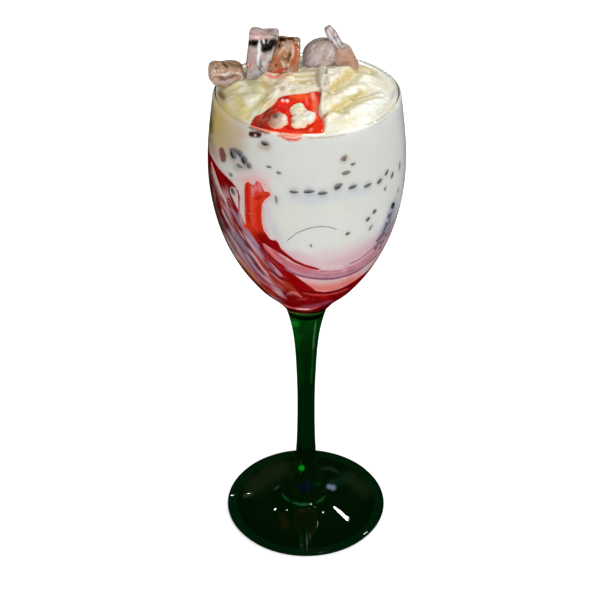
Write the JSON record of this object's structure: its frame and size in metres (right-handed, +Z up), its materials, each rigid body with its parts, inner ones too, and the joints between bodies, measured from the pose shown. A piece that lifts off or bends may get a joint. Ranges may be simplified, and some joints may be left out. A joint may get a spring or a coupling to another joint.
{
  "type": "falooda",
  "caption": "Layered rose milk dessert drink in a green stemmed glass, with rose syrup, seeds and vermicelli, topped with ice cream, syrup and ice.",
  "frame": {"origin": "centre of the foot ring, on the surface that the glass stands on", "axes": "+Z up along the glass's axis; -Y faces the side with the syrup plume and the poured topping, +X to that side's right"},
  "size_m": [0.0672, 0.0672, 0.1988],
  "materials": {
    "glass_bowl": "clear polished",
    "green_stem_foot": "dark green polished",
    "rose_syrup": "wet syrup with pale noodles",
    "falooda_milk": "milk behind glass",
    "ice_cream": "melting ice cream",
    "syrup_topping": "wet syrup",
    "ice": "wet ice"
  },
  "bodies": {
    "root": {"glass_bowl": "glass_bowl", "green_stem_foot": "green_stem_foot", "rose_syrup": "rose_syrup", "falooda_milk": "falooda_milk", "ice_cream": "ice_cream", "syrup_topping": "syrup_topping", "ice_slab_left": "ice", "ice_cube_tall": "ice", "ice_cube_middle": "ice", "ice_dome": "ice", "ice_wedge": "ice", "ice_shard": "ice", "ice_sliver": "ice"}
  },
  "joints": []
}
